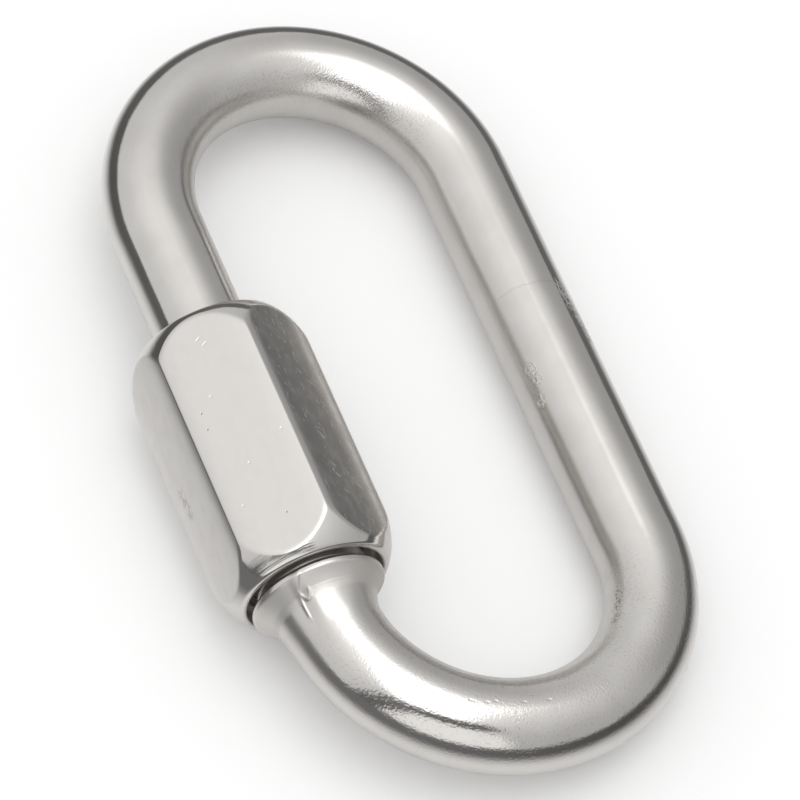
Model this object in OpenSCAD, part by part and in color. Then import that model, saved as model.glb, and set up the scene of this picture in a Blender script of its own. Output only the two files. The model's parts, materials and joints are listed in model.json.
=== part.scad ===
// Oval screw-lock quick link: a round rod bent into a long loop that is open
// on one side, and a hexagonal sleeve nut that screws across the opening.
// Both rod ends are upset, so the thread is thicker than the rod and the nut
// can run back along the plain rod. Threads are drawn at their pitch surface.

/* [Rod loop] */
// Diameter of the plain round rod
rod_d = 8; // [6:0.5:10]
// Clear width inside the loop, from leg to leg
inside_w = 21.1; // [18:0.1:28]
// Clear length inside the loop, from bow to bow
inside_len = 59.75; // [56:0.25:100]

/* [Upset ends] */
// How far the thread's pitch surface stands proud of the rod
upset_step = 0.5; // [0.3:0.05:1]
// How far the stop collar stands proud of the rod
collar_step = 1.8; // [1.2:0.05:2.5]
// Length of the collar above its flare, bevel included
collar_len = 0.8; // [0.6:0.05:3]
// Bevel on the collar's upper edge
collar_bevel = 0.35; // [0.1:0.05:0.5]
// Length of the flare that carries the collar into its neck
flare_len = 1.15; // [0.6:0.05:2.5]
// How far the neck under the flare stands proud of the rod
neck_step = 0.5; // [0.1:0.05:0.8]
// Length over which the neck tapers into the rod
neck_len = 1.7; // [1:0.1:2]
// Threaded stub that stands above the collar
stub_len = 4.6; // [2.5:0.1:5]
// Mouth between the two rod ends when the nut is run back
mouth = 9; // [8:0.5:10]
// Threaded length on the long end
long_thread = 9; // [5:0.5:9.5]
// Length over which the long end's upset tapers into the rod
upset_taper = 1; // [0.5:0.1:1.5]
// Chamfer on the tips of both rod ends
tip_chamfer = 0.7; // [0.2:0.1:1]

/* [Sleeve nut] */
// Length of the nut from end face to end face
nut_len = 24.9; // [23.9:0.1:32]
// Wall between the end recess and a spanner flat
nut_wall = 0.97; // [0.8:0.01:3]
// Rounding along the six corners
corner_r = 0.7; // [0.3:0.1:2]
// Length over which the corners are turned down towards each end
crown_len = 4.7; // [4:0.1:9]
// How far the crown's widest circle lies outside the rounded corners
crown_over = 0.07; // [0.02:0.01:0.3]
// Flat ring left on each end face beside the recess
rim_land = 0.2; // [0.1:0.05:0.5]
// Rounding between that ring and the crown
rim_round = 0.5; // [0.1:0.05:0.6]
// Depth of the recess that takes the collar
recess_depth = 1.6; // [1:0.1:3]
// Depth of the recess at the other end, which clears the bend of the rod
relief_depth = 3; // [2:0.1:5]
// How far the nut stands back from its stop, as it is left hand-tight
nut_back = 1.7; // [0:0.1:2]
// Turn of the nut about its own axis where it is left
nut_turn = 28; // [0:1:59]

/* [Fits] */
// Radial play between the threaded ends and the nut's bore
thread_play = 0.05; // [0.02:0.01:0.1]
// Radial room between the collar and the recess around it
collar_room = 0.23; // [0.2:0.01:1]
// Room left between the collar and its recess floor at the stop
seat_room = 0.1; // [0.05:0.05:0.3]

/* [Hidden] */
$fn = 96;
CROWN_FN = 360;

// Loop: centre line of the legs and bows
rod_r = rod_d / 2;
bend_r = (inside_w + rod_d) / 2;
leg_len = inside_len - inside_w;
half_leg = leg_len / 2;

// Heights along the opening leg, measured from the loop's middle
collar_foot_y = -half_leg;
collar_edge_y = collar_foot_y + flare_len;
collar_top_y = collar_edge_y + collar_len;
stub_tip_y = collar_top_y + stub_len;
long_tip_y = stub_tip_y + mouth;
long_thread_y = long_tip_y + long_thread;
recess_floor_y = collar_top_y + seat_room + nut_back;
nut_end_y = recess_floor_y - recess_depth;

// Radii about the opening leg
thread_r = rod_r + upset_step;
collar_r = rod_r + collar_step;
bore_r = thread_r + thread_play;
recess_r = collar_r + collar_room;

// Neck: its straight taper runs on until it ends inside the bend of the rod
neck_sink = 0.4;
neck_end = neck_len * (neck_step + neck_sink) / neck_step;

// Hexagon: angle from flat to flat, centre line of the corner rounding, and
// the corner's own reach
FLATS = 6;
flat_pitch = 360 / FLATS;
half_pitch = flat_pitch / 2;
flat_r = recess_r + nut_wall;
corner_arm = (flat_r - corner_r) / cos(half_pitch);
corner_reach = corner_arm + corner_r;

// Crown: one arc, widest at crown_len, that rolls into the rim's rounding
crown_r = corner_reach + crown_over;
rim_r = recess_r + rim_land;
rim_in = rim_r - crown_r;
rim_rise = crown_len - rim_round;
crown_arc = (rim_in * rim_in + rim_rise * rim_rise - rim_round * rim_round)
          / (-2 * (rim_in + rim_round));
crown_arc_x = crown_r - crown_arc;
rim_touch_z = crown_len - rim_rise * crown_arc / (crown_arc - rim_round);

// Rest: the link leans until its plain leg and one nut corner share a floor.
// Corners are counted from straight up, and those within low_sector of
// straight down can reach the floor.
low_sector = 65;
function lean_for(corner) =
    atan2(corner_arm * cos(corner), 2 * bend_r - corner_arm * sin(corner))
    + asin((corner_r - rod_r) / norm([
        corner_arm * cos(corner),
        2 * bend_r - corner_arm * sin(corner)
    ]));
CORNERS = [for (k = [0:FLATS - 1]) nut_turn + half_pitch + flat_pitch * k];
LOW_CORNERS = [for (c = CORNERS) if (abs(c - 180) < low_sector) c - 180];
lean = max([for (c = LOW_CORNERS) lean_for(c)]);
nut_reach = corner_r + max([for (c = CORNERS) corner_arm * abs(sin(c - lean))]);
shift_x = (nut_reach - rod_r) / 2;
floor_z = bend_r * sin(lean) + rod_r;

steel = [0.78, 0.77, 0.75];
bright_steel = [0.84, 0.83, 0.81];

// Lays the loop, drawn flat about its own middle, down on its floor
module at_rest() {
    translate([shift_x, 0, floor_z])
        rotate([0, lean, 0])
            children();
}

// Carries a shape drawn along Z to the opening leg, at height y
module on_opening_leg(y) {
    translate([-bend_r, y, 0])
        rotate([-90, 0, 0])
            children();
}

// Half a torus of rod, from leg to leg
module bow() {
    rotate_extrude(angle = 180)
        translate([bend_r, 0])
            circle(r = rod_r);
}

// Turned shape of the rod's short end: neck, flare, collar and threaded stub
module short_end() {
    edge = collar_edge_y - collar_foot_y;
    top = collar_top_y - collar_foot_y;
    tip = stub_tip_y - collar_foot_y;
    on_opening_leg(collar_foot_y)
        rotate_extrude()
            polygon([
                [0, -neck_end],
                [rod_r - neck_sink, -neck_end],
                [rod_r + neck_step, 0],
                [collar_r, edge],
                [collar_r, top - collar_bevel],
                [collar_r - collar_bevel, top],
                [thread_r, top],
                [thread_r, tip - tip_chamfer],
                [thread_r - tip_chamfer, tip],
                [0, tip]
            ]);
}

// Turned shape of the rod's long end: thread, taper and plain rod
module long_end() {
    thread_top = long_thread_y - long_tip_y;
    top = half_leg - long_tip_y;
    on_opening_leg(long_tip_y)
        rotate_extrude()
            polygon([
                [0, 0],
                [thread_r - tip_chamfer, 0],
                [thread_r, tip_chamfer],
                [thread_r, thread_top],
                [rod_r, thread_top + upset_taper],
                [rod_r, top],
                [0, top]
            ]);
}

module link_rod() {
    color(steel)
        at_rest() {
            translate([0, half_leg, 0])
                bow();
            translate([0, -half_leg, 0])
                rotate([0, 0, 180])
                    bow();
            translate([bend_r, -half_leg, 0])
                rotate([-90, 0, 0])
                    cylinder(r = rod_r, h = leg_len);
            short_end();
            long_end();
        }
}

// Hexagon with round corners: three bars across the flats and six corner rounds
module rounded_hexagon() {
    flat_w = 2 * corner_arm * sin(half_pitch);
    for (k = [0:FLATS / 2 - 1])
        rotate(half_pitch + flat_pitch * k)
            square([2 * flat_r, flat_w], center = true);
    for (k = [0:FLATS - 1])
        rotate(flat_pitch * k)
            translate([corner_arm, 0])
                circle(r = corner_r);
}

// Half section of one crowned end, up to the middle of the nut
module crown_section() {
    difference() {
        union() {
            intersection() {
                translate([crown_arc_x, crown_len])
                    circle(r = crown_arc, $fn = CROWN_FN);
                square([crown_r, crown_len]);
            }
            translate([0, crown_len])
                square([crown_r, nut_len / 2 - crown_len]);
        }
        difference() {
            translate([rim_r, 0])
                square([crown_r - rim_r, rim_touch_z]);
            translate([rim_r, rim_round])
                circle(r = rim_round);
        }
    }
}

// Solid of revolution that crowns both ends of the hexagon
module crowned_blank() {
    rotate_extrude() {
        crown_section();
        translate([0, nut_len])
            mirror([0, 1])
                crown_section();
    }
}

module sleeve_nut() {
    color(bright_steel)
        at_rest()
            on_opening_leg(nut_end_y)
                difference() {
                    intersection() {
                        rotate(-nut_turn)
                            linear_extrude(height = nut_len)
                                rounded_hexagon();
                        crowned_blank();
                    }
                    translate([0, 0, -nut_len])
                        cylinder(r = bore_r, h = 3 * nut_len);
                    translate([0, 0, -nut_len])
                        cylinder(r = recess_r, h = nut_len + recess_depth);
                    translate([0, 0, nut_len - relief_depth])
                        cylinder(r = recess_r, h = nut_len);
                }
}

link_rod();
sleeve_nut();
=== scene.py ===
# %% [markdown]
# # An oval screw-lock quick link in polished stainless steel
#
# The real link is two pieces. A round rod is bent into a long loop that stays open on one side,
# and a hexagonal sleeve nut screws across the opening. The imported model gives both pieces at
# their real size and place. Its surfaces are coarse triangles, and on mirror-bright metal every
# triangle shows, so this lesson draws the same two forms again as fine numpy surfaces, adds the
# screw threads and the forging marks, and gives the steel its finish.

# %% Load the frame
import json

import bpy
import numpy as np
from mathutils import Matrix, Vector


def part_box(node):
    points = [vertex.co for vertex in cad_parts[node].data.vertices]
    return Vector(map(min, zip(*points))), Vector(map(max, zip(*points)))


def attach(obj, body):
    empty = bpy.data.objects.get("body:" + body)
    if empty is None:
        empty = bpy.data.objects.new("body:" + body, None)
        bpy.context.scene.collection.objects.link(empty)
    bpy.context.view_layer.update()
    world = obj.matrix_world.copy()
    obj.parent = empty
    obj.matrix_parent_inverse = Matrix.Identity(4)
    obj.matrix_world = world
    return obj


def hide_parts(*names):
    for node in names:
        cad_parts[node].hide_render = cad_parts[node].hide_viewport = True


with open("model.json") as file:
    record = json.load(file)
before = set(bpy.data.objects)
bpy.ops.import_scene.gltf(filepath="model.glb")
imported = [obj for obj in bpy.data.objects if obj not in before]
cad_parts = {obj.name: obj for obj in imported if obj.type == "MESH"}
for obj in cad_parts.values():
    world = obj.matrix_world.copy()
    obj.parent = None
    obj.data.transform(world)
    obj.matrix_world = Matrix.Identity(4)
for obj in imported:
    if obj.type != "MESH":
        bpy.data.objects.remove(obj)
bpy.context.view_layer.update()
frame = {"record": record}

# %% [markdown]
# ## The loop's own axes
#
# The link lies on one leg and one corner of its nut, so its plane leans a little. All forms are
# easier to write in the loop's own axes: across from the opening leg to the plain leg, along
# the legs, and normal to the loop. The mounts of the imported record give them. The two bow
# mounts sit on the centre line at the ends of the loop, and the two spanner flats lie on
# opposite sides of the nut's axis, which is the axis of the opening leg.

# %% Read axes and main sizes from the mounts
MM = 0.001
mounts = {mount["name"]: mount for mount in frame["record"]["mounts"]}


def mount_place(name):
    """A mount's place in metres."""
    return np.array(mounts[name]["pos_m"], float)


loop_middle = (mount_place("upper_bow") + mount_place("lower_bow")) / 2
nut_middle = (mount_place("spanner_flat_a") + mount_place("spanner_flat_b")) / 2
along = np.array(mounts["upper_bow"]["axis"], float)
leg_offset = loop_middle - nut_middle
leg_offset -= along * (leg_offset @ along)
bend_r = np.linalg.norm(leg_offset)
across = leg_offset / bend_r
normal = np.cross(across, along)

rod_r = mounts["upper_bow"]["dims"]["r_mm"] * MM
half_leg = np.linalg.norm(mount_place("upper_bow") - mount_place("lower_bow")) / 2 - bend_r
flat_r = np.linalg.norm(mount_place("spanner_flat_a") - mount_place("spanner_flat_b")) / 2
flat_out = np.array(mounts["spanner_flat_a"]["axis"], float)
nut_low = (np.array(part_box("sleeve_nut")[0]) - loop_middle) @ along
nut_len = (np.array(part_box("sleeve_nut")[1]) - loop_middle) @ along - nut_low
print(f"rod {2 * rod_r / MM:.2f} mm, bend {bend_r / MM:.2f} mm, straight legs {2 * half_leg / MM:.2f} mm")
print(f"nut {2 * flat_r / MM:.2f} mm across flats, {nut_len / MM:.2f} mm long")

# %% [markdown]
# ## Turning grids of points into meshes
#
# Both pieces are one surface of two parameters: a place along a profile, and an angle round an
# axis. A whole surface is one array of rows and columns of points, and one helper turns such an
# array into a mesh. The columns always close on themselves. The rows either close too, as on a
# sleeve, or end in a point at both ends, as on a bar. A second helper rounds the corners of a
# turned profile: it walks along the profile's straight lines and takes the mean over a short
# window, so that every corner becomes a small fillet about as long as the window.

# %% Helpers for grids and turned profiles
WINDOW_SAMPLES = 9


def listed(grid, sleeve):
    """Points of a grid, row by row. On a bar the first and last rows give one point each."""
    if sleeve:
        return grid.reshape(-1, 3)
    return np.concatenate([grid[0, :1], grid[1:-1].reshape(-1, 3), grid[-1, :1]])


def add_piece(name, points, attributes, sleeve):
    """Mesh of a grid of points whose columns go round an axis.

    points is an array of rows by columns by 3, and so is each of the attributes, which the mesh
    keeps for its finish. A quad joins each point to the next in its row and its column. On a
    sleeve the last row joins the first, and on a bar the first and last rows are single points.
    """
    rows, columns = points.shape[:2]
    if sleeve:
        index = np.arange(rows * columns).reshape(rows, columns)
        index = np.vstack([index, index[:1]])
    else:
        inner = np.arange((rows - 2) * columns).reshape(rows - 2, columns) + 1
        index = np.vstack([np.zeros((1, columns), int), inner, np.full((1, columns), inner.max() + 1)])
    here, there = index[:-1], index[1:]
    quads = np.stack([here, there, np.roll(there, -1, axis=1), np.roll(here, -1, axis=1)], -1)
    faces = quads.reshape(-1, 4).tolist()
    if not sleeve:
        faces = quads[0][:, [0, 1, 2]].tolist() + quads[1:-1].reshape(-1, 4).tolist()
        faces += quads[-1][:, [0, 1, 3]].tolist()
    mesh = bpy.data.meshes.new(name)
    mesh.from_pydata(listed(points, sleeve).tolist(), [], faces)
    for label, grid in attributes.items():
        mesh.attributes.new(label, "FLOAT_VECTOR", "POINT")
        mesh.attributes[label].data.foreach_set("vector", listed(grid, sleeve).ravel().astype(np.float32))
    mesh.shade_smooth()
    piece = bpy.data.objects.new(name, mesh)
    bpy.context.scene.collection.objects.link(piece)
    print(f"{name}: {len(mesh.vertices)} points, {len(mesh.polygons)} faces")
    return piece


def soft_line(corners, step, window):
    """Points along a line of straight runs, with its corners rounded.

    The line is walked in equal steps, and each point is the mean of the line over a window
    centred on it. Straight runs stay as they are. The window narrows to nothing at both ends.
    """
    corners = np.array(corners, float)
    lengths = np.linalg.norm(np.diff(corners, axis=0), axis=1)
    marks = np.concatenate([[0.0], np.cumsum(lengths)])
    walk = np.linspace(0.0, marks[-1], int(np.ceil(marks[-1] / step)) + 1)
    reach = np.minimum(window / 2, np.minimum(walk, marks[-1] - walk))
    spots = walk[:, None] + reach[:, None] * np.linspace(-1.0, 1.0, WINDOW_SAMPLES)
    return np.stack([np.interp(spots, marks, corners[:, k]).mean(1) for k in range(2)], -1)


def ramp(x):
    """Smooth step: 0 below 0, 1 above 1, and 3x^2 - 2x^3 between."""
    x = np.clip(x, 0.0, 1.0)
    return x * x * (3 - 2 * x)


# %% [markdown]
# ## The screw thread
#
# Both rod ends and the nut carry one right-handed thread with a 1.5 mm pitch. A thread is a
# wave on a cylinder that shifts by one pitch in each turn. It could be a bump in the material,
# but the short end stands free when the nut is run back, and its outline then shows real
# ridges. So the wave is added to the radius of the surface. Rod and nut use the same wave. The
# model's nut slides and doesn't turn, so its ridges lie just outside the rod's crests: meshing
# ridges would cut through each other on the way.

# %% Thread as a wave on a cylinder
PITCH = 1.5 * MM
HALF_DEPTH = 0.44 * MM
FLANK = 1.2


def thread_wave(height, angle):
    """Thread between -1 at the root and 1 at the crest.

    The phase is height over pitch less turns of the angle. A triangle wave of that phase is
    stretched by FLANK and cut off at 1, which leaves flat crests and roots.
    """
    phase = height / PITCH - angle / (2 * np.pi)
    triangle = 4 * np.abs(phase % 1.0 - 0.5) - 1
    return np.clip(FLANK * triangle, -1.0, 1.0)


# %% [markdown]
# ## The bent rod
#
# The rod starts as a straight bar with two upset ends: a short threaded stub above a stop
# collar, and a longer threaded end. It is then bent into the loop. The surface is built the
# same way, and the straight bar comes first, as a profile of radius against length. The rows
# are close together on the two ends, where the detail is, and wide apart on the plain rod.

# %% Straight bar: stub, collar, plain rod and long end
UPSET = 0.5 * MM
COLLAR_STEP = 1.8 * MM
COLLAR_LEN = 0.8 * MM
COLLAR_BEVEL = 0.35 * MM
FLARE_LEN = 1.15 * MM
NECK_STEP = 0.5 * MM
NECK_LEN = 2.6 * MM
NECK_POWER = 1.5
NECK_ROWS = 8
STUB_LEN = 4.6 * MM
MOUTH = 9.0 * MM
LONG_THREAD = 9.0 * MM
UPSET_TAPER = 1.0 * MM
TIP_CHAMFER = 0.7 * MM
RUN_OUT = 1.0 * MM
FINE_TAIL = 3.2 * MM

thread_r = rod_r + UPSET
collar_r = rod_r + COLLAR_STEP
collar_edge = STUB_LEN + COLLAR_LEN
collar_foot = collar_edge + FLARE_LEN
stub_tip = -half_leg + collar_foot
long_tip = stub_tip + MOUTH
bow_len = np.pi * bend_r
plain_leg_start = collar_foot + bow_len
upper_bow_start = plain_leg_start + 2 * half_leg
long_leg_start = upper_bow_start + bow_len
bar_len = long_leg_start + half_leg - long_tip

PLAIN_STEP = 0.55 * MM
SHORT_STEP = 0.075 * MM
LONG_STEP = 0.11 * MM
FILLET = 0.3 * MM
fade = np.linspace(0, 1, NECK_ROWS)
neck = np.stack([collar_foot + NECK_LEN * fade, rod_r + NECK_STEP * (1 - fade) ** NECK_POWER], -1)
short_end = soft_line([
    (0.0, 0.0),
    (0.0, thread_r - TIP_CHAMFER),
    (TIP_CHAMFER, thread_r),
    (STUB_LEN, thread_r),
    (STUB_LEN, collar_r - COLLAR_BEVEL),
    (STUB_LEN + COLLAR_BEVEL, collar_r),
    (collar_edge, collar_r),
    *neck,
    (collar_foot + FINE_TAIL, rod_r),
], SHORT_STEP, FILLET)
long_end = soft_line([
    (bar_len - LONG_THREAD - UPSET_TAPER - RUN_OUT, rod_r),
    (bar_len - LONG_THREAD - UPSET_TAPER, rod_r),
    (bar_len - LONG_THREAD, thread_r),
    (bar_len - TIP_CHAMFER, thread_r),
    (bar_len, thread_r - TIP_CHAMFER),
    (bar_len, 0.0),
], LONG_STEP, FILLET)
plain_len = long_end[0, 0] - short_end[-1, 0]
plain = np.linspace(short_end[-1, 0], long_end[0, 0], int(plain_len / PLAIN_STEP))[1:-1]
plain_rod = np.stack([plain, np.full_like(plain, rod_r)], -1)
bar = np.concatenate([short_end, plain_rod, long_end])
print(f"bar {bar_len / MM:.1f} mm long, {len(bar)} rows")

# %% [markdown]
# ## Marks of the upsetting die
#
# The collar is pressed in a die of two halves. Where they part, a burr runs down the collar, and
# beside it a little metal is torn up into a curl. The neck is a bit thicker on the upper side,
# from the burr to the inside of the loop. These marks catch the light on their own edges, so
# they are heights added to the bar's radius, each a formula of place and angle.

# %% Burr, curl and swelling beside the collar
SEAM_ANGLE = 0.9
BURR_RUN = np.array([4.9, 5.4, 5.9, 6.3, 7.0, 8.6]) * MM
BURR_ANGLES = np.array([0.92, 0.90, 0.85, 0.80, 0.77, 0.75])
BURR_HALF = np.array([0.55, 0.5, 0.42, 0.34, 0.3, 0.25]) * MM
BURR_FADE = 0.7 * MM
BURR_HEIGHT = 0.16 * MM
SOFT_EDGE = 0.7 * MM
CRISP_EDGE = 0.2 * MM
CURL_PLACE = 6.45 * MM
CURL_ANGLE = 0.94
CURL_RADIUS = 0.34 * MM
CURL_STRETCH = 1.5
CURL_OPENING = 0.6
CURL_WIDTH = 0.1 * MM
CURL_HEIGHT = 0.13 * MM
SWELL_HEIGHT = 0.42 * MM
SWELL_LEN = 5.0 * MM
SWELL_ANGLE = 1.6
DIE_EDGE = 3.0


def burr(place, angle):
    """Height of the burr where the two halves of the upsetting die part, a strip with a small curl.

    The strip runs down the collar and drifts a little round the bar. One smooth step rises at
    its soft edge and another falls at its crisp edge. The curl is a bell curve across an oval
    ring on the crisp edge, which fades out on the collar's side and leaves a lip.
    """
    aside = rod_r * (angle - np.interp(place, BURR_RUN, BURR_ANGLES))
    half = np.interp(place, BURR_RUN, BURR_HALF)
    strip = ramp((aside + half) / SOFT_EDGE) * ramp((half - aside) / CRISP_EDGE)
    strip = strip * ramp((place - BURR_RUN[0]) / BURR_FADE) * ramp((BURR_RUN[-1] - place) / BURR_FADE)
    down = (place - CURL_PLACE) / CURL_STRETCH
    ring = np.hypot(down, rod_r * (angle - CURL_ANGLE)) - CURL_RADIUS
    lip = ramp(CURL_OPENING + down / CURL_RADIUS) * np.exp(-(ring / CURL_WIDTH) ** 2)
    return BURR_HEIGHT * strip + CURL_HEIGHT * lip


def swell(place, angle):
    """Height of the swelling that upsetting leaves on the upper side, from the burr to the inside.

    It grows from the collar's edge to the foot of its flare and dies out along the rod, to the
    same power as the neck. Round the bar it is a cosine about the middle of the upper side, cut
    off at the burr.
    """
    grows = (place - collar_edge) / FLARE_LEN
    dies = 1 - (place - collar_foot) / SWELL_LEN
    upper = np.clip(np.cos(angle - SWELL_ANGLE), 0, None) * ramp(0.5 + DIE_EDGE * (angle - SEAM_ANGLE))
    return SWELL_HEIGHT * upper * np.clip(np.minimum(grows, dies), 0, 1) ** NECK_POWER


# %% [markdown]
# ## Bending the bar
#
# The centre line is bent like the real rod: an arm as long as the bend's radius turns about a
# hub, and the hub slides along the loop's middle line while the rod runs straight. Thread, burr
# and swelling are on the bar already, so they follow the bend. The columns crowd together
# beside the burr, because its edges are finer than the rest.

# %% Bend the bar into the loop
ROD_COLUMNS = 144
SEAM_CROWDING = 0.75

turn = np.linspace(-np.pi, np.pi, ROD_COLUMNS, endpoint=False)
rod_angle = SEAM_ANGLE + turn - SEAM_CROWDING * np.sin(turn)


def bent_rod(place, radius, angle):
    """Points on the rod, at a place along the bar, a radius and an angle from the loop's outside.

    The arm turns by half a turn over each bow. The hub walks down the short end, up the plain
    leg and down the long end. A point is hub + arm of bend radius + radius towards the angle,
    which turns from the arm's direction to the loop's normal.
    """
    arm_turn = np.clip((place - collar_foot) / bend_r, 0, np.pi)
    arm_turn = arm_turn + np.clip((place - upper_bow_start) / bend_r, 0, np.pi)
    hub = stub_tip - np.clip(place, 0, collar_foot)
    hub = hub + np.clip(place - plain_leg_start, 0, 2 * half_leg)
    hub = hub - np.clip(place - long_leg_start, 0, None)
    reach = bend_r + radius * np.cos(angle)
    x = -reach * np.cos(arm_turn)
    y = hub - reach * np.sin(arm_turn)
    z = radius * np.sin(angle)
    return loop_middle + x[..., None] * across + y[..., None] * along + z[..., None] * normal


place = bar[:, :1] + 0 * rod_angle
radius = bar[:, 1:] + 0 * rod_angle
height = np.where(place < bar_len / 2, stub_tip - place, long_tip + bar_len - place)
from_tip = np.minimum(place, bar_len - place)
thread_len = np.where(place < bar_len / 2, STUB_LEN, LONG_THREAD)
ridge = HALF_DEPTH * ramp(from_tip / TIP_CHAMFER) * ramp((thread_len - from_tip) / RUN_OUT)
radius = radius + ridge * thread_wave(height, rod_angle)
radius = radius + burr(place, rod_angle) + swell(place, rod_angle)
rod_places = np.stack([radius * np.cos(rod_angle), radius * np.sin(rod_angle), place], -1)
rod = add_piece("polished_rod", bent_rod(place, radius, rod_angle), {"bar_place": rod_places}, sleeve=False)

# %% [markdown]
# ## The sleeve nut
#
# The nut is cut from hexagonal bar with rounded corners. Both ends are then turned down to a
# crown, a wide arc that takes off the corners and rolls over a small rounding into the end
# face, so each flat ends in an arch. Boolean cuts would leave ragged arches on a fine mesh.
# Here the rows of the grid follow the arch instead: for each angle the crown meets the flat at
# a height that the arc's own formula gives, and the rows crowd together there. A smooth minimum
# of the two radii rounds the arch, as polishing does.

# %% Hexagon with rounded corners
FLATS = 6
CORNER_R = 0.45 * MM
EDGE_SLOPE = np.radians(10.0)
WEAR_POWER = 6
FLAT_COLUMNS = 24
CORNER_COLUMNS = 10

half_pitch = np.pi / FLATS
side_slope = np.tan(half_pitch)
half_flat = CORNER_R * np.sin(EDGE_SLOPE) + side_slope * (flat_r - CORNER_R * np.cos(EDGE_SLOPE))
half_flat /= 1 + side_slope * np.tan(EDGE_SLOPE) / WEAR_POWER
flat_drop = half_flat * np.tan(EDGE_SLOPE) / WEAR_POWER
corner_arm = (flat_r - flat_drop - CORNER_R * np.cos(EDGE_SLOPE)) / np.cos(half_pitch)


def hexagon_outline():
    """Angle and radius of points round the hexagon, one flat and one corner at a time.

    Polishing wears a flat near its edges: it drops with the power WEAR_POWER of the distance
    from its middle, and reaches EDGE_SLOPE at the edge. The corner is an arc about the end of the
    corner arm, which takes over with that slope. The other five sides repeat the first.
    """
    share = np.linspace(-1, 1, FLAT_COLUMNS)
    bend = np.linspace(EDGE_SLOPE - half_pitch, half_pitch - EDGE_SLOPE, CORNER_COLUMNS + 2)[1:-1]
    corner = corner_arm * np.exp(1j * half_pitch) + CORNER_R * np.exp(1j * (half_pitch + bend))
    side = np.concatenate([flat_r - flat_drop * share ** WEAR_POWER + 1j * half_flat * share, corner])
    sides = side * np.exp(2j * half_pitch * np.arange(FLATS))[:, None]
    return np.unwrap(np.angle(sides.ravel())), np.abs(sides.ravel())


nut_angle, hexagon = hexagon_outline()
print(f"hexagon: {len(nut_angle)} columns, corners reach {hexagon.max() / MM:.2f} mm")

# %% Crowned outside
CROWN_LEN = 4.7 * MM
CROWN_R = 8.045 * MM
RIM_LAND = 0.2 * MM
RIM_ROUND = 0.5 * MM
COLLAR_ROOM = 0.23 * MM
ARCH_SOFT = 0.12 * MM
RIM_ROWS = 9
CROWN_ROWS = 26
FLAT_ROWS = 34
END_CROWDING = 0.9

recess_r = collar_r + COLLAR_ROOM
rim_r = recess_r + RIM_LAND
rim_in = rim_r - CROWN_R
rim_rise = CROWN_LEN - RIM_ROUND
crown_arc = (rim_in ** 2 + rim_rise ** 2 - RIM_ROUND ** 2) / (-2 * (rim_in + RIM_ROUND))
crown_arc_x = CROWN_R - crown_arc
rim_touch = CROWN_LEN - rim_rise * crown_arc / (crown_arc - RIM_ROUND)


def crown_radius(depth):
    """Radius of the crown's arc at a depth below the end face, constant past the crown's length."""
    rise = np.clip(CROWN_LEN - depth, 0, None)
    return crown_arc_x + np.sqrt(crown_arc ** 2 - rise ** 2)


def soft_min(a, b, width):
    """Smaller of two values, less a quarter of width at most, where they differ by less than width."""
    return np.minimum(a, b) - np.clip(width - np.abs(a - b), 0, None) ** 2 / (4 * width)


arch = CROWN_LEN - np.sqrt(crown_arc ** 2 - (hexagon - crown_arc_x) ** 2)
roll = np.linspace(0, np.arccos(1 - rim_touch / RIM_ROUND), RIM_ROWS)[:-1, None] + 0 * nut_angle
near_arch = 1 - (1 - np.linspace(0, 1, CROWN_ROWS))[:-1, None] ** 2
spread = np.linspace(0, 1, FLAT_ROWS)[:, None]
spread = spread - END_CROWDING * np.sin(2 * np.pi * spread) / (2 * np.pi)

rim_depth = RIM_ROUND * (1 - np.cos(roll))
rim_radius = rim_r + RIM_ROUND * np.sin(roll)
crown_depth = rim_touch + (arch - rim_touch) * near_arch
flat_depth = arch + (nut_len - 2 * arch) * spread
flat_end_depth = np.minimum(flat_depth, nut_len - flat_depth)
end_depth = np.concatenate([rim_depth, crown_depth])
end_radius = np.concatenate([rim_radius, soft_min(crown_radius(crown_depth), hexagon, ARCH_SOFT)])
flat_radius = soft_min(crown_radius(flat_end_depth), hexagon, ARCH_SOFT)
outside_depth = np.concatenate([end_depth, flat_depth, nut_len - end_depth[::-1]])
outside_radius = np.concatenate([end_radius, flat_radius, end_radius[::-1]])
print(f"arches lie {arch.min() / MM:.2f} to {arch.max() / MM:.2f} mm below the end faces")

# %% [markdown]
# ## Inside of the nut
#
# A recess at the lower end takes the collar, and a deeper one at the upper end clears the bend
# of the rod. Between them runs the threaded bore. This is one turned profile, walked from the
# upper end face to the lower one, with the thread's wave added to the bore.

# %% Recesses and threaded bore
RECESS_DEPTH = 1.6 * MM
RELIEF_DEPTH = 3.0 * MM
THREAD_ROOM = 0.04 * MM
NUT_HALF_DEPTH = 0.3 * MM
BORE_CHAMFER = 0.5 * MM
RECESS_STEP = 0.08 * MM
BORE_STEP = 0.17 * MM
RECESS_FILLET = 0.16 * MM

bore_r = thread_r + HALF_DEPTH + THREAD_ROOM + NUT_HALF_DEPTH
mouth_r = bore_r + NUT_HALF_DEPTH


def recess(depth):
    """Profile of one end's recess: end face, wall, floor and the chamfer into the bore."""
    return soft_line([
        (0.0, rim_r),
        (0.0, recess_r),
        (depth, recess_r),
        (depth, mouth_r),
        (depth + BORE_CHAMFER, bore_r),
    ], RECESS_STEP, RECESS_FILLET)


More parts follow.
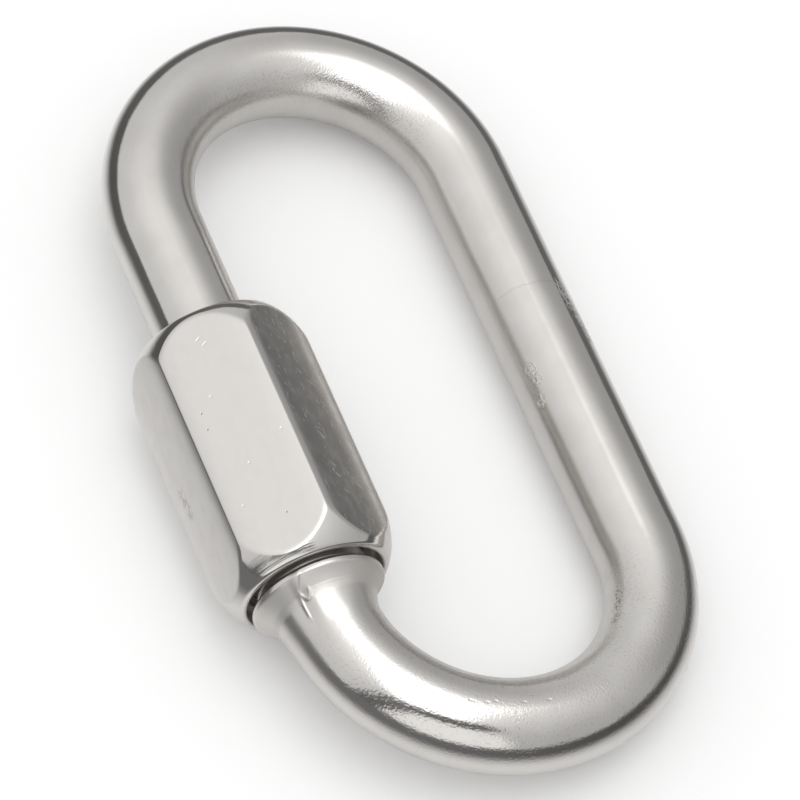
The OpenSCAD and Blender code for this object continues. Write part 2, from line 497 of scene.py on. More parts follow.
collar_recess = recess(RECESS_DEPTH)[1:]
relief = recess(RELIEF_DEPTH)[1:]
relief[:, 0] = nut_len - relief[:, 0]
bore = np.arange(collar_recess[-1, 0] + BORE_STEP, relief[-1, 0], BORE_STEP)
bore = np.stack([bore, np.full_like(bore, bore_r)], -1)
inside = np.concatenate([relief, bore[::-1], collar_recess[::-1]])
inside_depth = inside[:, :1] + 0 * nut_angle
inside_radius = inside[:, 1:] + 0 * nut_angle
into_bore = np.minimum(inside_depth - RECESS_DEPTH, nut_len - RELIEF_DEPTH - inside_depth)
ridge = NUT_HALF_DEPTH * ramp(into_bore / BORE_CHAMFER)
rod_zero = np.arctan2(flat_out @ normal, flat_out @ -across)
inside_radius = inside_radius + ridge * thread_wave(nut_low + inside_depth, nut_angle + rod_zero)

print(f"bore {bore_r / MM:.2f} mm in radius, {len(inside)} rows from end face to end face")

# %% [markdown]
# ## One closed sleeve
#
# Outside and inside have the same columns, so their rows join into one closed surface. Two more
# values go with each point for the finish: whether it was turned on the crown, and whether it
# lies inside the nut.

# %% Join outside and inside into one sleeve
nut_side = np.cross(along, flat_out)
leg_axis = loop_middle - bend_r * across


def nut_points(depth, radius, angle):
    """Points at a depth above the nut's lower end, a radius and an angle from its first flat."""
    x = radius * np.cos(angle)
    z = radius * np.sin(angle)
    points = x[..., None] * flat_out + z[..., None] * nut_side + (nut_low + depth)[..., None] * along
    return leg_axis + points


depth = np.concatenate([outside_depth, inside_depth])[::-1]
radius = np.concatenate([outside_radius, inside_radius])[::-1]
nut_places = np.stack([radius * np.cos(nut_angle), radius * np.sin(nut_angle), depth], -1)
turned = ramp((hexagon - crown_radius(np.minimum(outside_depth, nut_len - outside_depth))) / ARCH_SOFT)
turned = np.concatenate([turned, 0 * inside_depth])[::-1]
within_nut = np.concatenate([0 * outside_depth, 0 * inside_depth + 1])[::-1]
nut_zones = np.stack([turned, within_nut, 0 * turned], -1)
nut_attributes = {"bar_place": nut_places, "zone": nut_zones}
nut = add_piece("hexagon_sleeve", nut_points(depth, radius, nut_angle), nut_attributes, sleeve=True)

# %% [markdown]
# ## Writing shaders as arithmetic
#
# A finish is a small graph of nodes. Written link by link it hides the idea, so one class wraps
# a node's output and lets Python's own operators add the Math nodes. One method adds any other
# node: its type, its settings, and the values or links of its inputs.

# %% Socket wrapper
class Shade:
    """A node's output in a shader, on which arithmetic adds Math nodes."""

    def __init__(self, tree, output=None):
        self.tree = tree
        self.output = output

    def node(self, kind, settings, inputs, output=0):
        """Adds a node of any kind, sets it up, fills its inputs and returns one of its outputs.

        The setting stops gives a colour ramp's places and grey levels.
        """
        made = self.tree.nodes.new(kind)
        for name, value in settings.items():
            if name == "stops":
                (first, low), *between, (last, high) = value
                ends = made.color_ramp.elements
                ends[0].position, ends[0].color = first, (low, low, low, 1)
                ends[1].position, ends[1].color = last, (high, high, high, 1)
                for position, level in between:
                    ends.new(position).color = (level, level, level, 1)
            else:
                setattr(made, name, value)
        for key, value in inputs.items():
            if isinstance(value, Shade):
                self.tree.links.new(value.output, made.inputs[key])
            else:
                made.inputs[key].default_value = value
        return Shade(self.tree, made.outputs[output])

    def math(self, operation, a, b=0.0):
        """One Math node."""
        return self.node("ShaderNodeMath", {"operation": operation}, {0: a, 1: b})

    def __add__(self, other):
        return self.math("ADD", self, other)

    def __radd__(self, other):
        return self.math("ADD", other, self)

    def __sub__(self, other):
        return self.math("SUBTRACT", self, other)

    def __rsub__(self, other):
        return self.math("SUBTRACT", other, self)

    def __mul__(self, other):
        return self.math("MULTIPLY", self, other)

    def __rmul__(self, other):
        return self.math("MULTIPLY", other, self)


# %% [markdown]
# ## Patterns for steel
#
# Every mark on the steel is a number between 0 and 1 at a place in millimetres: noise, a smooth
# step, an oval spot or a net of fine lines. A finish adds such patterns up, each times a weight
# by its name, into a dullness, a roughness and a relief. They could be painted images, but
# numbers stay sharp at any distance and need no unwrapping.

# %% Pattern helpers
UNTURNED = (0, 0, 0)
MARK_EDGE = (0.4, 1.0)
NET_LINE = (0.02, 0.13)


def axis(vector, name):
    """One coordinate of a vector: X, Y or Z."""
    return vector.node("ShaderNodeSeparateXYZ", {}, {0: vector}, name)


def noise(place, scale, detail=2.0):
    """Cloudy noise between 0 and 1 about 0.5, with features of one over scale."""
    return place.node("ShaderNodeTexNoise", {}, {"Vector": place, "Scale": scale, "Detail": detail}, "Fac")


def smooth(value, low, high):
    """Smooth step of a value, from 0 at low to 1 at high."""
    limits = {"Value": value, "From Min": low, "From Max": high}
    return value.node("ShaderNodeMapRange", {"interpolation_type": "SMOOTHSTEP"}, limits)


def within(value, low, high, edge):
    """1 between low and high, fading to 0 over an edge outside them."""
    return smooth(value, low - edge, low) - smooth(value, high, high + edge)


def stretched(place, factors):
    """A place with each of its coordinates multiplied by a factor."""
    return place.node("ShaderNodeVectorMath", {"operation": "MULTIPLY"}, {0: place, 1: factors})


def grain_along(place, turn, width, length):
    """Noise drawn out into strokes of a width and length, in millimetres, after a turn in degrees."""
    lie = {"Vector": place, "Rotation": np.radians(turn), "Scale": (width, length, length)}
    return noise(place.node("ShaderNodeMapping", {"vector_type": "TEXTURE"}, lie), 1.0)


def marks(place, centres, turn, size):
    """Oval marks about some centres, 1 inside and 0 outside.

    The size is three half lengths, after a turn in degrees.
    """
    total = 0.0
    for centre in centres:
        lie = {"Vector": place, "Location": centre, "Rotation": np.radians(turn), "Scale": size}
        near = place.node("ShaderNodeMapping", {"vector_type": "TEXTURE"}, lie)
        away = place.node("ShaderNodeVectorMath", {"operation": "LENGTH"}, {0: near}, "Value")
        total = total + (1 - smooth(away, *MARK_EDGE))
    return total


def net(place, cell):
    """Net of thin lines between random cells, 1 on the lines and 0 in the cells.

    The cell size is in millimetres.
    """
    cells = {"Vector": place, "Scale": 1 / cell}
    edge = place.node("ShaderNodeTexVoronoi", {"feature": "DISTANCE_TO_EDGE"}, cells, "Distance")
    return 1 - smooth(edge, *NET_LINE)


def weighted(weights, pattern, start=0.0):
    """Sum of patterns, each times the weight of its name, added to a start."""
    total = start
    for name, weight in weights.items():
        total = total + weight * pattern[name]
    return total


# %% Steel with a finish
STEEL = (0.721, 0.70, 0.675, 1.0)
DULL_STEEL = (0.31, 0.285, 0.255, 1.0)


def steel_material(name, finish):
    """A metal whose dullness, roughness and relief come from a function of the place in millimetres.

    The relief is in millimetres too.
    """
    material = bpy.data.materials.new(name)
    material.use_nodes = True
    tree = material.node_tree
    shader = tree.nodes["Principled BSDF"]
    shader.inputs["Metallic"].default_value = 1.0
    root = Shade(tree)
    metres = root.node("ShaderNodeAttribute", {"attribute_name": "bar_place"}, {}, "Vector")
    place = root.node("ShaderNodeVectorMath", {"operation": "SCALE"}, {0: metres, "Scale": 1 / MM})
    dullness, roughness, relief = finish(place)
    colour = root.node("ShaderNodeMix", {"data_type": "RGBA"}, {0: dullness, 6: STEEL, 7: DULL_STEEL}, 2)
    bump = root.node("ShaderNodeBump", {}, {"Strength": 1.0, "Distance": MM, "Height": relief})
    tree.links.new(colour.output, shader.inputs["Base Color"])
    tree.links.new(roughness.output, shader.inputs["Roughness"])
    tree.links.new(bump.output, shader.inputs["Normal"])
    print(f"{name}: {len(tree.nodes)} nodes")
    return material


# %% [markdown]
# ## Finish of the rod
#
# The rod is drawn bar, bent hot and then tumbled until it shines. Drawing leaves faint lines
# along the bar. Bending roughens the skin of both bows like orange peel: in patches on the lower
# bow, and most on the inside of each bend, where the skin is squeezed and one patch is pitted.
# The flare under the collar keeps a satin skin from the die, which fades out along the neck. A
# faint line crosses the plain leg, where the bar was clamped. Tumbling rounds everything and
# leaves scuffs, knocks and chips. All of it is written in the straight bar's coordinates, so
# lines follow the bend by themselves. The threads are cut after the bar is drawn and keep a
# duller, darker surface.

# %% Zones of the rod
BOW_EDGE = 6.0
THREAD_EDGE = 0.3
TAPER_EDGE = 0.5
PAST_TIP = 1.0
SATIN_SHIFT = 0.3
SATIN_EDGE = 0.4
NECK_SATIN = 1.0
NECK_EDGE = 5.0
INNER_SIDE = (-2.8, -1.2)


def bow_share(length, start, end):
    """1 on a bow between two places along the bar, fading to 0 at its ends."""
    return within(length, start / MM + BOW_EDGE, end / MM - BOW_EDGE, BOW_EDGE)


def thread_share(length):
    """1 on the two threads and 0 on the rest of the bar."""
    short = within(length, -PAST_TIP, STUB_LEN / MM - THREAD_EDGE, THREAD_EDGE)
    return short + within(length, (bar_len - LONG_THREAD) / MM, bar_len / MM + PAST_TIP, TAPER_EDGE)


def rod_zones(place):
    """Shares of the rod's zones, each between 0 and 1, by name."""
    length = axis(place, "Z")
    foot = collar_foot / MM
    lower = bow_share(length, collar_foot, plain_leg_start)
    upper = bow_share(length, upper_bow_start, long_leg_start)
    inner = 1 - smooth(axis(place, "X"), *INNER_SIDE)
    return {
        "lower": lower,
        "upper": upper,
        "inner": inner,
        "inner_bend": inner * (lower + upper),
        "satin": within(length, collar_edge / MM + SATIN_SHIFT, foot + SATIN_SHIFT, SATIN_EDGE),
        "neck": within(length, foot, foot + NECK_SATIN, NECK_EDGE),
        "threads": thread_share(length),
    }


# %% Marks on the rod
SCUFFS = ((2.21, 3.33, 76.2), (2.45, 3.15, 74.6), (2.75, 2.9, 73.0), (3.0, 2.65, 71.6))
SCUFF_SIZE = (0.9, 0.9, 1.3)
KNOCKS = ((-3.30, 2.28, 69.6), (-3.20, 2.40, 68.4), (-3.48, 1.97, 66.5))
KNOCK_SIZE = (0.7, 0.7, 0.8)
TORN_CELL = 0.55
CHIPS = ((0.5, 3.97, 21.6), (0.36, 3.98, 22.9), (0.15, 4.0, 23.6), (0.05, 4.0, 26.0), (0.0, 4.0, 28.2))
CHIP_SIZE = (0.16, 0.16, 0.3)
PITTED = ((-3.37, 2.15, 45.0), (-3.31, 2.24, 43.4), (-3.17, 2.44, 41.6))
PITTED_SIZE = (0.6, 0.6, 1.5)
PITS_PER_MM = 4.0
PIT_EDGE = (0.5, 0.6)
CLAMP_PLACE = 77.2
CLAMP_EDGE = 0.16
CLAMP_DRIFT = 0.6
DRIFTS_PER_MM = 0.5


def rod_marks(place):
    """Single marks of the rod, 1 on the mark and 0 beside it, by name.

    A place is outward from the loop, up its normal and along the bar, in millimetres.
    """
    torn = marks(place, SCUFFS, UNTURNED, SCUFF_SIZE) + marks(place, KNOCKS, UNTURNED, KNOCK_SIZE)
    pits = smooth(noise(place, PITS_PER_MM, detail=1.0), *PIT_EDGE)
    drift = axis(place, "Z") + CLAMP_DRIFT * noise(place, DRIFTS_PER_MM)
    return {
        "torn": torn * net(place, TORN_CELL),
        "chips": marks(place, CHIPS, UNTURNED, CHIP_SIZE),
        "pitted": marks(place, PITTED, UNTURNED, PITTED_SIZE) * pits,
        "clamp_line": within(drift, CLAMP_PLACE, CLAMP_PLACE, CLAMP_EDGE),
    }


# %% Rod finish
CLOUDS_PER_MM = 0.3
CLOUD_EDGE = (0.36, 0.62)
GRAINS_PER_MM = 5.0
DOTS_PER_MM = 4.5
DOT_EDGE = (0.62, 0.74)
WAVES_PER_MM = 0.8
WAVE_STRETCH = (1.0, 1.0, 0.4)
LINE_STRETCH = (5.0, 5.0, 0.12)
LEAST_PEEL = 0.06
ROD_PEEL = {"lower": 0.28, "lower_clouds": 0.3, "upper": 0.12, "inner_bend": 0.75}
ROD_RELIEF = {
    "grain": 0.024,
    "dots": -0.006,
    "waves": 0.012,
    "lines": 0.0012,
    "torn": 0.04,
    "chips": -0.015,
    "pitted": -0.012,
    "clamp_line": -0.002,
}
POLISHED_ROD = 0.1
ROD_ROUGHNESS = {
    "peel": 0.04,
    "inner": 0.12,
    "inner_bend": -0.07,
    "lines": 0.04,
    "torn": 0.3,
    "satin": 0.25,
    "neck": 0.12,
    "threads": 0.2,
}
ROD_DULLNESS = {
    "lines": 0.05,
    "clouds": 0.06,
    "dots": 0.15,
    "clamp_line": 0.1,
    "pitted": 0.7,
    "threads": 0.35,
}


def rod_finish(place):
    """Dullness, roughness and relief of the rod, each a sum of weighted patterns."""
    pattern = rod_zones(place) | rod_marks(place)
    pattern["clouds"] = smooth(noise(place, CLOUDS_PER_MM), *CLOUD_EDGE)
    pattern["lower_clouds"] = pattern["lower"] * pattern["clouds"]
    pattern["peel"] = weighted(ROD_PEEL, pattern, LEAST_PEEL)
    pattern["grain"] = pattern["peel"] * noise(place, GRAINS_PER_MM)
    pattern["dots"] = pattern["peel"] * smooth(noise(place, DOTS_PER_MM, detail=0.0), *DOT_EDGE)
    pattern["waves"] = noise(stretched(place, WAVE_STRETCH), WAVES_PER_MM, detail=1.0)
    pattern["lines"] = noise(stretched(place, LINE_STRETCH), 1.0, detail=3.0)
    roughness = weighted(ROD_ROUGHNESS, pattern, POLISHED_ROD)
    return weighted(ROD_DULLNESS, pattern), roughness, weighted(ROD_RELIEF, pattern)


rod.data.materials.append(steel_material("rod_steel", rod_finish))

# %% [markdown]
# ## Finish of the nut
#
# The nut is polished brighter than the rod. Its flats show smudges, a few small nicks and pits,
# and one patch of scratches on the outer flat. The flat that faces the loop is rubbed by the
# chain and has the most hair scratches, which run across each other. The crowns are turned on a
# lathe, so rings of fine tool marks go round them. Polishing has taken most of them off again
# and left them in a few places. The recesses and the bore stay as they were turned, matt and
# with rings, and their colour is made a little darker.

# %% Marks on the nut
NICKS = ((7.0, -0.22, 22.0), (7.0, 0.12, 21.36))
NICK_TURN = (30, 0, 0)
NICK_SIZE = (0.3, 0.36, 0.09)
DENTS = ((7.0, -1.16, 16.6), (7.0, 3.11, 11.23), (7.0, -0.45, 9.55), (7.0, -2.31, 6.2))
DENT_SIZE = (0.3, 0.17, 0.12)
PITS = ((7.0, -2.44, 15.54), (7.0, -2.51, 13.95), (7.0, 0.7, 4.05))
PIT_SIZE = (0.3, 0.1, 0.14)
SCRATCHES = ((2.0, -6.9, 11.9), (2.2, -6.8, 10.4))
SCRATCH_SIZE = (1.0, 0.6, 1.3)
SCRATCH_CELL = 0.8
HAIR_LIES = (((0, 20, 35), 0.16, 1.6), ((50, 0, -20), 0.14, 1.3))
HAIR_EDGE = (0.66, 0.72)
LOOP_SIDE = (3.0, 5.0)
LEAST_HAIRS = 0.12


def nut_marks(place):
    """Single marks and hair scratches of the nut, 1 on the mark and 0 beside it, by name.

    A place is towards the first flat, sideways from there and above the lower end, in millimetres.
    """
    hairs = 0.0
    for turn, width, length in HAIR_LIES:
        hairs = hairs + smooth(grain_along(place, turn, width, length), *HAIR_EDGE)
    rubbed = LEAST_HAIRS + (1 - LEAST_HAIRS) * smooth(axis(place, "Y"), *LOOP_SIDE)
    return {
        "hairs": hairs * rubbed,
        "nicks": marks(place, NICKS, NICK_TURN, NICK_SIZE) + marks(place, DENTS, UNTURNED, DENT_SIZE),
        "pits": marks(place, PITS, UNTURNED, PIT_SIZE),
        "scratches": marks(place, SCRATCHES, UNTURNED, SCRATCH_SIZE) * net(place, SCRATCH_CELL),
    }


# %% Nut finish
TOOL_MARKS = ((6.6, -1.6, 0.5), (6.7, -2.9, 1.2), (6.6, 0.9, 0.5), (2.25, 6.43, 0.6))
TOOL_MARK_SIZE = (1.8, 1.8, 1.4)
TOOL_MARK_SHARE = 1.8
FAINT_RINGS = 0.25
FAINT_RINGS_PER_MM = 0.4
RING_STRETCH = (0.15, 0.15, 8.0)
SMUDGE_STRETCH = (1.0, 1.0, 0.6)
SMUDGES_PER_MM = 1.1
SMUDGE_EDGE = (0.4, 0.7)
NUT_WAVES_PER_MM = 0.5
NUT_RELIEF = {
    "rings": 0.009,
    "hairs": -0.0025,
    "waves": 0.003,
    "nicks": -0.02,
    "pits": -0.02,
    "scratches": -0.012,
}
POLISHED_NUT = 0.08
NUT_ROUGHNESS = {
    "flats": 0.09,
    "flat_smudges": 0.06,
    "rings": 0.08,
    "hairs": 0.22,
    "pits": 0.2,
    "inside": 0.5,
}
# The inside weight makes the colour of the recesses and the bore a little darker.
NUT_DULLNESS = {"hairs": 0.04, "smudges": 0.03, "scratches": 0.4, "pits": 0.8, "inside": 0.08}


def nut_finish(place):
    """Dullness, roughness and relief of the nut, each a sum of weighted patterns."""
    zone = place.node("ShaderNodeAttribute", {"attribute_name": "zone"}, {}, "Vector")
    turned = axis(zone, "X")
    pattern = nut_marks(place)
    pattern["inside"] = axis(zone, "Y")
    brushed = marks(place, TOOL_MARKS, UNTURNED, TOOL_MARK_SIZE)
    kept = turned * (FAINT_RINGS * noise(place, FAINT_RINGS_PER_MM) + TOOL_MARK_SHARE * brushed)
    pattern["rings"] = (kept + pattern["inside"]) * noise(stretched(place, RING_STRETCH), 1.0, detail=3.0)
    smudges = noise(stretched(place, SMUDGE_STRETCH), SMUDGES_PER_MM, detail=5.0)
    pattern["smudges"] = smooth(smudges, *SMUDGE_EDGE)
    pattern["flats"] = 1 - turned
    pattern["flat_smudges"] = pattern["smudges"] * pattern["flats"]
    pattern["waves"] = noise(place, NUT_WAVES_PER_MM, detail=1.0)
    roughness = weighted(NUT_ROUGHNESS, pattern, POLISHED_NUT)
    return weighted(NUT_DULLNESS, pattern), roughness, weighted(NUT_RELIEF, pattern)


nut.data.materials.append(steel_material("nut_steel", nut_finish))

# %% [markdown]
# ## Riding on the bodies
#
# Each piece rides on one body of the imported model and takes the place of one of its nodes,
# so a pose moves the nut and leaves the rod.

# %% Tie the pieces to the frame
rides = ((rod, "link", "link_rod", "rod_steel"), (nut, "nut", "sleeve_nut", "nut_steel"))
for piece, body, node, slot in rides:
    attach(piece, body)
    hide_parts(node)
print("rides:", [(piece.name, body) for piece, body, node, slot in rides])

# %% [markdown]
# ## Camera
#
# The link is seen through a long lens from about half a metre, over the end of the loop where
# the collar is. Angles and distance were found from the loop's two outlines and from the rings
# of the nut, in the loop's own axes. So the camera keeps its view of the loop however far the
# link leans on its floor.

# %% Camera over the lower bow
VIEW_AZIMUTH = -41.803
VIEW_ELEVATION = 52.248
VIEW_ROLL = 23.890
VIEW_DISTANCE = 488.60 * MM
AIM_RIGHT = 0.307 * MM
AIM_UP = -0.993 * MM
LENS = 260.04
SENSOR = 36.0

azimuth, elevation, tilt = np.radians([VIEW_AZIMUTH, VIEW_ELEVATION, VIEW_ROLL])
level_right = np.cos(azimuth) * across + np.sin(azimuth) * along
back = np.cos(elevation) * (np.sin(azimuth) * across - np.cos(azimuth) * along) + np.sin(elevation) * normal
level_up = np.cross(back, level_right)
right = np.cos(tilt) * level_right + np.sin(tilt) * level_up
up = np.cos(tilt) * level_up - np.sin(tilt) * level_right
eye = loop_middle + VIEW_DISTANCE * back + AIM_RIGHT * right + AIM_UP * up

camera = bpy.data.objects.new("camera", bpy.data.cameras.new("camera"))
camera.data.lens = LENS
camera.data.sensor_width = SENSOR
camera.matrix_world = Matrix([(*right, 0), (*up, 0), (*back, 0), (*eye, 1)]).transposed()
bpy.context.scene.collection.objects.link(camera)
bpy.context.scene.camera = camera
print("camera at", eye.round(4))

# %% [markdown]
# ## Studio
#
# Polished steel has almost no look of its own: it shows the room. So the studio is made from what
# the steel shows: a white floor inside a pale tent, a reflector in a dark frame, and a dark
# surround. First comes the floor, a sheet of white paper. In full light the paper is a little
# under white, so it gets a faint glow that only the lens and reflections see.

# %% Floor
FLOOR_HALF = 6.0
FLOOR_WHITE = (0.98, 0.98, 0.98, 1.0)
PAPER_LIFT = 0.05


def stage_mesh(name, points, faces, material):
    """A mesh of the studio, which isn't part of the object."""
    mesh = bpy.data.meshes.new(name)
    mesh.from_pydata(np.asarray(points).tolist(), [], faces)
    mesh.materials.append(material)
    thing = bpy.data.objects.new(name, mesh)
    bpy.context.scene.collection.objects.link(thing)
    return thing


def plain_paint(name, colour, glow):
    """A matt paint of one colour, which may also glow evenly."""
    material = bpy.data.materials.new(name)
    material.use_nodes = True
    shader = material.node_tree.nodes["Principled BSDF"]
    shader.inputs["Base Color"].default_value = colour
    shader.inputs["Roughness"].default_value = 1.0
    shader.inputs["Specular IOR Level"].default_value = 0.0
    shader.inputs["Emission Color"].default_value = (1.0, 1.0, 1.0, 1.0)
    shader.inputs["Emission Strength"].default_value = glow
    return material


def lift(material, amount):
    """Adds a little glow that only the lens and reflections see."""
    paper = Shade(material.node_tree)
    seen = paper.node("ShaderNodeLightPath", {}, {}, "Is Camera Ray")
    for kind in ("Is Glossy Ray", "Is Transmission Ray"):
        seen = paper.math("MAXIMUM", seen, paper.node("ShaderNodeLightPath", {}, {}, kind))
    shader = material.node_tree.nodes["Principled BSDF"]
    material.node_tree.links.new((seen * amount).output, shader.inputs["Emission Color"])


paper = plain_paint("floor_paper", FLOOR_WHITE, 1.0)
lift(paper, PAPER_LIFT)
square = np.array([(-1, -1, 0), (1, -1, 0), (1, 1, 0), (-1, 1, 0)], float)
stage_mesh("floor", FLOOR_HALF * square, [(0, 1, 2, 3)], paper)
print("floor", 2 * FLOOR_HALF, "m wide")

# %% [markdown]
# ## Tent
#
# The tent is all the light there is. Its walls grow lighter from the floor to the roof and
# towards the nut's side, and they are dimmer behind the plain leg. A soft oblong glow in the
# roof draws the bright bands on the bows. Lamps would add hard spots to such steel, so both are
# written into the world, as levels of the direction.

# %% Tent walls and glowing roof
TENT = [
    (0.0, 0.62),
    (0.34, 0.65),
    (0.5, 0.69),
    (0.64, 0.76),
    (0.77, 0.85),
    (0.87, 0.96),
    (0.94, 1.09),
    (1.0, 1.22),
]
TENT_PEAK = 2.0
TENT_LEAN = 0.2
BRIGHT_AZIMUTH = -85.0
DIM_WAY = (145.0, 15.0)
DIM_SHARE = 0.25
DIM_EDGE = (0.7, 0.97)
GLOW_WAY = (18.0, 82.0)
GLOW_HEADING = -6.0
GLOW_HALF = (0.27, 0.53)
GLOW_EDGE = (0.75, 1.25)
GLOW_STRENGTH = 1.0
GLOW_HORIZON = (0.0, 0.1)

ahead = np.array([back[0], back[1], 0.0]) / np.hypot(back[0], back[1])
aside = np.cross((0.0, 0.0, 1.0), ahead)


def towards(azimuth, elevation):
    """Unit vectors to compass angles from the lens's heading, and to elevations, in degrees."""
    azimuth, elevation = np.radians(azimuth), np.radians(elevation)
    level = np.multiply.outer(np.cos(azimuth), ahead) + np.multiply.outer(np.sin(azimuth), aside)
    return np.cos(elevation)[..., None] * level + np.multiply.outer(np.sin(elevation), (0.0, 0.0, 1.0))


def angle_share(heading, way):
    """Dot product of the shaded direction and a fixed one."""
    return heading.node("ShaderNodeVectorMath", {"operation": "DOT_PRODUCT"}, {0: heading, 1: way}, "Value")


def overhead_glow(heading):
    """Soft oblong glow about a direction near the zenith, 1 in its middle and 0 outside.

    The two offsets from the middle, each over its half length, are taken to the power 4 and
    added. The fourth root of that sum grows from 0 in the middle to 1 on a rounded oblong.
    """
    middle = towards(np.array(GLOW_WAY[0]), np.array(GLOW_WAY[1]))
    width = np.cross(towards(np.array(GLOW_HEADING), np.array(0.0)), middle)
    width /= np.linalg.norm(width)
    length = np.cross(middle, width)
    total = 0.0
    for way, half in ((width, GLOW_HALF[0]), (length, GLOW_HALF[1])):
        offset = angle_share(heading, way) * (1 / half)
        total = total + heading.math("POWER", offset * offset, 2.0)
    outside = smooth(heading.math("POWER", total, 0.25), *GLOW_EDGE)
    return (1 - outside) * smooth(angle_share(heading, middle), *GLOW_HORIZON)


world = bpy.data.worlds.new("studio")
world.use_nodes = True
tent = Shade(world.node_tree)
heading = tent.node("ShaderNodeTexCoord", {}, {}, "Generated")
stops = [(z, level / TENT_PEAK) for z, level in TENT]
wall = tent.node("ShaderNodeValToRGB", {"stops": stops}, {0: axis(heading, "Z")})
side = angle_share(heading, towards(np.array(BRIGHT_AZIMUTH), np.array(0.0)))
dim = angle_share(heading, towards(np.array(DIM_WAY[0]), np.array(DIM_WAY[1])))
wall = wall * TENT_PEAK * (1 + TENT_LEAN * side) * (1 - DIM_SHARE * smooth(dim, *DIM_EDGE))
light = wall + GLOW_STRENGTH * overhead_glow(heading)
background = world.node_tree.nodes["Background"]
world.node_tree.links.new(light.output, background.inputs["Color"])
background.inputs["Strength"].default_value = 1.0
bpy.context.scene.world = world
bpy.context.scene.view_settings.view_transform = "Standard"
print("tent and glow:", len(world.node_tree.nodes), "nodes")

# %% [markdown]
# ## Reflector
#
# A white card faces the link from below the lens. It shows in the nut's lower crown and along
# the front of the rod. Its frame is dark, and the steel shows it as the dark hooks on both bows.
# Card and frame are patches of a sphere round the link, because only their direction matters.
# They are there for reflections alone, so neither the camera nor the floor sees them.

# %% Reflector and its dark frame
CARD_SIDES = 64
REFLECTOR = ((-24.0, 34.0), (3.0, 41.0), 1.07, 0.8)
FRAME_RUN = [(39.0, 47.5), (-12.0, 47.5), (-40.0, -14.0)]
FRAME_STEP = 2.0
FRAME_CORNER = 36.0
FRAME_HALF = 6.3
FRAME_LEVEL = 0.12
FRAME_DISTANCE = 0.7


def reflection_only(thing):
    """Hides a studio card from everything but reflections."""
    thing.visible_camera = False
    thing.visible_diffuse = False
    thing.visible_transmission = False
    thing.visible_volume_scatter = False
    thing.visible_shadow = False


def add_card(name, azimuths, elevations, glow, distance):
    """A glowing card between two azimuths and two elevations, with wide round corners.

    The outline is the superellipse of power 4: the square roots of cosine and sine, with their
    signs.
    """
    around = np.linspace(0, 2 * np.pi, CARD_SIDES, endpoint=False)
    u = np.sign(np.cos(around)) * np.sqrt(np.abs(np.cos(around)))
    v = np.sign(np.sin(around)) * np.sqrt(np.abs(np.sin(around)))
    azimuth = np.mean(azimuths) + u * np.ptp(azimuths) / 2
    elevation = np.mean(elevations) + v * np.ptp(elevations) / 2
    points = loop_middle + distance * towards(azimuth, elevation)
    card = stage_mesh(name, points, [list(range(CARD_SIDES))], plain_paint(name, (0, 0, 0, 1), glow))
    reflection_only(card)


def add_frame():
    """A dark strip over the reflector's upper edge and down beside it.

    The strip's middle line is a run of straight lines with a round corner. Both edges lie half a
    width beside it, at right angles in a map of azimuth times its cosine against elevation.
    """
    line = soft_line(FRAME_RUN, FRAME_STEP, FRAME_CORNER)
    squeeze = np.cos(np.radians(line[:, 1]))
    run = np.gradient(line, axis=0) * np.stack([squeeze, np.ones(len(line))], -1)
    run /= np.linalg.norm(run, axis=1, keepdims=True)
    offset = FRAME_HALF * np.stack([-run[:, 1] / squeeze, run[:, 0]], -1)
    edges = np.stack([line + offset, line - offset])
    points = loop_middle + FRAME_DISTANCE * towards(edges[..., 0], edges[..., 1])
    index = np.arange(2 * len(line)).reshape(2, -1)
    quads = np.stack([index[0, :-1], index[0, 1:], index[1, 1:], index[1, :-1]], -1)
    paint = plain_paint("frame", (0, 0, 0, 1), FRAME_LEVEL)
    reflection_only(stage_mesh("frame", points.reshape(-1, 3), quads.tolist(), paint))


add_card("reflector", *REFLECTOR)
add_frame()
print("reflector and frame", REFLECTOR[3], "m and", FRAME_DISTANCE, "m away")
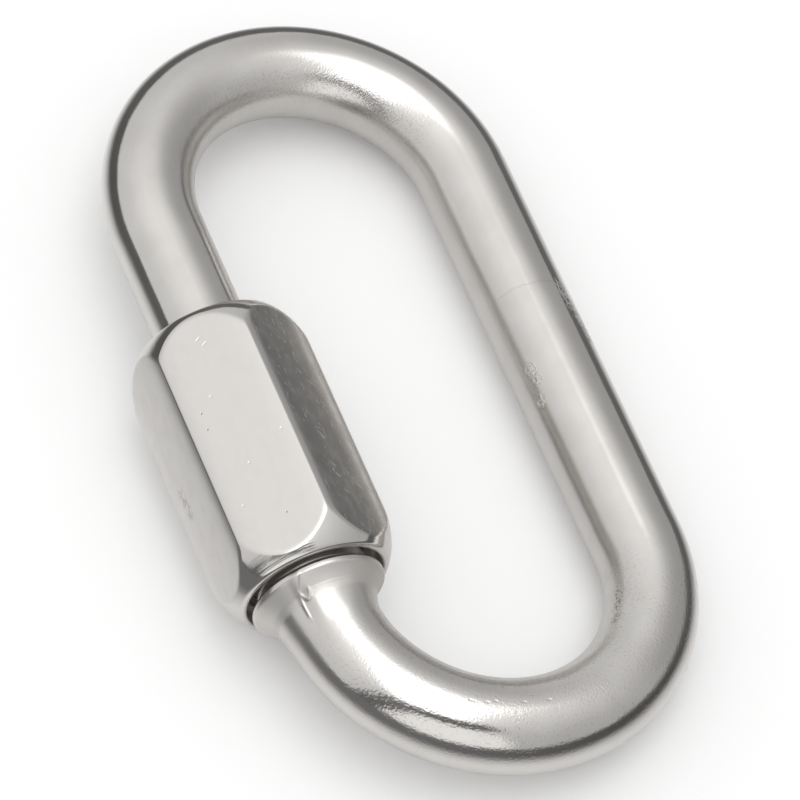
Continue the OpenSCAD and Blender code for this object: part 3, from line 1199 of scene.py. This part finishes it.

# %% [markdown]
# ## Dark surround
#
# Some way out from the link the floor turns dark, with a low rim. The steel sees it as a dark
# band along the horizon, which draws the dark lines inside the rod's outlines and fills the
# flat that faces the loop. It lies just above the paper and shows in reflections alone. Its
# levels are kept on the points of a few rings, from white at the link to dark. The innermost
# ring, inside the loop, is a little darker: painted shade of the floor under the loop.

# %% Rings of the surround
SURROUND_GAPS = np.array([-12.0, 0.0, 5.0, 10.0, 16.0, 24.0]) * MM
# The first level, inside the loop, is painted shade of the floor under the loop.
SURROUND_LEVELS = np.array([0.75, 0.98, 0.90, 0.66, 0.32, 0.0])
SURROUND_RADIUS = 0.6
SURROUND_RISE = 3.5
SURROUND_HEIGHT = 0.2 * MM
SURROUND_TURN = 0.1
DARK_LEVEL = 0.09
LIGHT_SECTORS = ((-30.0, 0.1), (165.0, 0.07))

around = np.radians(np.linspace(0, 360, 2 * CARD_SIDES, endpoint=False))
ring = np.stack([np.cos(around), np.sin(around), 0 * around], -1)
stretch = half_leg * np.clip(ring[:, 1:2] / SURROUND_TURN, -1, 1) * [0.0, 1.0, 0.0]
near = stretch + (bend_r + rod_r + SURROUND_GAPS)[:, None, None] * ring + [0, 0, SURROUND_HEIGHT]
far = SURROUND_RADIUS * ring + [0, 0, SURROUND_HEIGHT]
rim = SURROUND_RADIUS * (ring + [0, 0, np.tan(np.radians(SURROUND_RISE))])
points = np.concatenate([near, far[None], rim[None]])
compass = np.degrees(np.arctan2(points @ aside, points @ ahead))
levels = np.full(compass.shape, DARK_LEVEL)
for azimuth, more in LIGHT_SECTORS:
    levels += more * np.clip(np.cos(np.radians(compass - azimuth)), 0, None)
# The rings nearest the link take these levels, the innermost one painted shade.
levels[:len(SURROUND_LEVELS)] = np.maximum(levels[:len(SURROUND_LEVELS)], SURROUND_LEVELS[:, None])

paint = bpy.data.materials.new("surround")
paint.use_nodes = True
shader = paint.node_tree.nodes["Principled BSDF"]
shader.inputs["Roughness"].default_value = 1.0
shader.inputs["Specular IOR Level"].default_value = 0.0
grey = Shade(paint.node_tree).node("ShaderNodeAttribute", {"attribute_name": "level"}, {}, "Fac")
paint.node_tree.links.new(grey.output, shader.inputs["Base Color"])

index = np.arange(levels.size).reshape(levels.shape)
beside = np.roll(index, -1, axis=1)
quads = np.stack([index[:-1], index[1:], beside[1:], beside[:-1]], -1).reshape(-1, 4).tolist()
surround = stage_mesh("surround", points.reshape(-1, 3), quads + [index[0].tolist()], paint)
surround.data.attributes.new("level", "FLOAT", "POINT")
surround.data.attributes["level"].data.foreach_set("value", levels.ravel().astype(np.float32))
reflection_only(surround)
print("surround is dark from", SURROUND_GAPS[-2] / MM, "mm beyond the link")
